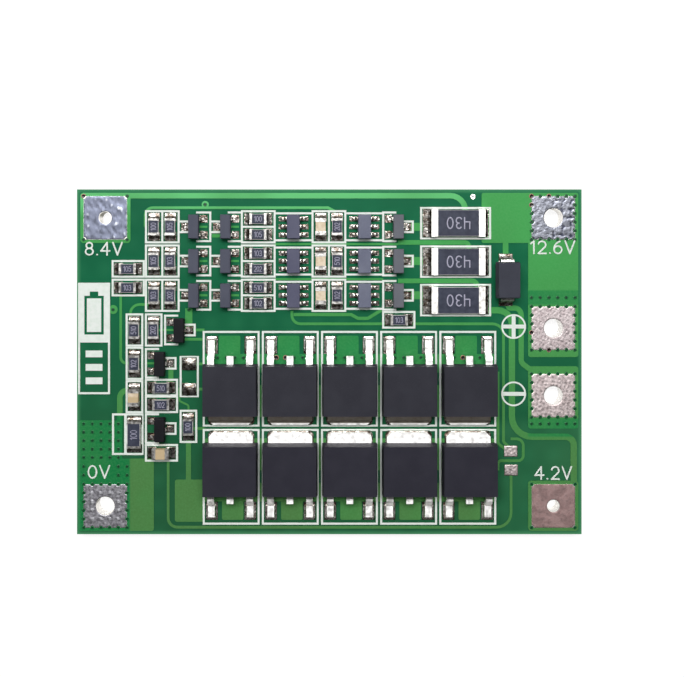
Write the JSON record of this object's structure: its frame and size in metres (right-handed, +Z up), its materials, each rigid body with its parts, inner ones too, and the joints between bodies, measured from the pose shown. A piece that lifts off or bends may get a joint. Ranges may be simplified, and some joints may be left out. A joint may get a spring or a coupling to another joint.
{
  "type": "battery management board",
  "caption": "Flat green circuit board that protects and balances a small cell pack, with square wire terminals along both short edges.",
  "frame": {"origin": "centre of the face the board stands on, the undersides of its six terminals", "axes": "+X along the board's long side towards the output terminals, +Y towards the edge with the sensing channels, +Z up through the fitted face"},
  "size_m": [0.06, 0.041, 0.0041],
  "materials": {
    "board_mask": "glossy green solder mask over glass-epoxy",
    "mask_over_copper": "glossy green solder mask over copper",
    "mask_over_copper_below": "glossy green solder mask over copper",
    "tinned_land": "hot-dipped tin",
    "legend_ink": "white screen ink",
    "solder": "bright solder",
    "tinned_terminal": "uneven hot-dipped tin",
    "bare_terminal": "dull tin over copper",
    "power_moulding": "matt black epoxy moulding",
    "tinned_lead_frame": "matt tin on copper",
    "alumina": "white alumina",
    "cap_metal": "tinned end cap",
    "small_moulding": "matt black epoxy moulding",
    "tinned_legs": "matt tin",
    "dark_moulding": "matt black epoxy moulding",
    "resistor_glaze": "black protective glaze",
    "capacitor_ceramic": "tan capacitor ceramic",
    "diode_moulding": "matt black epoxy moulding"
  },
  "bodies": {
    "root": {"laminate": "board_mask", "top_copper": "mask_over_copper", "bottom_copper": "mask_over_copper_below", "solder_lands": "tinned_land", "legend": "legend_ink", "solder_joints": "solder", "terminal_0v": "tinned_terminal", "terminal_8v4": "tinned_terminal", "terminal_12v6": "tinned_terminal", "terminal_4v2": "bare_terminal", "terminal_plus": "bare_terminal", "terminal_minus": "bare_terminal", "upper_power_transistor_1_body": "power_moulding", "upper_power_transistor_1_leads": "tinned_lead_frame", "upper_power_transistor_2_body": "power_moulding", "upper_power_transistor_2_leads": "tinned_lead_frame", "upper_power_transistor_3_body": "power_moulding", "upper_power_transistor_3_leads": "tinned_lead_frame", "upper_power_transistor_4_body": "power_moulding", "upper_power_transistor_4_leads": "tinned_lead_frame", "upper_power_transistor_5_body": "power_moulding", "upper_power_transistor_5_leads": "tinned_lead_frame", "lower_power_transistor_1_body": "power_moulding", "lower_power_transistor_1_leads": "tinned_lead_frame", "lower_power_transistor_2_body": "power_moulding", "lower_power_transistor_2_leads": "tinned_lead_frame", "lower_power_transistor_3_body": "power_moulding", "lower_power_transistor_3_leads": "tinned_lead_frame", "lower_power_transistor_4_body": "power_moulding", "lower_power_transistor_4_leads": "tinned_lead_frame", "lower_power_transistor_5_body": "power_moulding", "lower_power_transistor_5_leads": "tinned_lead_frame", "bleed_resistor_1_ceramic": "alumina", "bleed_resistor_1_caps": "cap_metal", "bleed_resistor_2_ceramic": "alumina", "bleed_resistor_2_caps": "cap_metal", "bleed_resistor_3_ceramic": "alumina", "bleed_resistor_3_caps": "cap_metal", "protection_chip_1": "small_moulding", "balance_chip_1": "small_moulding", "protection_chip_2": "small_moulding", "balance_chip_2": "small_moulding", "protection_chip_3": "small_moulding", "balance_chip_3": "small_moulding", "six_leg_chip_legs": "tinned_legs", "sense_transistors": "small_moulding", "switch_transistors": "small_moulding", "bleed_transistors": "small_moulding", "logic_transistors": "dark_moulding", "three_leg_transistor_legs": "tinned_legs", "resistor_ceramics": "alumina", "resistor_caps": "cap_metal", "resistor_glazes": "resistor_glaze", "capacitor_bodies": "capacitor_ceramic", "capacitor_caps": "cap_metal", "long_resistor_ceramic": "alumina", "long_resistor_caps": "cap_metal", "diode_body": "diode_moulding", "diode_leads": "tinned_lead_frame"}
  },
  "joints": []
}
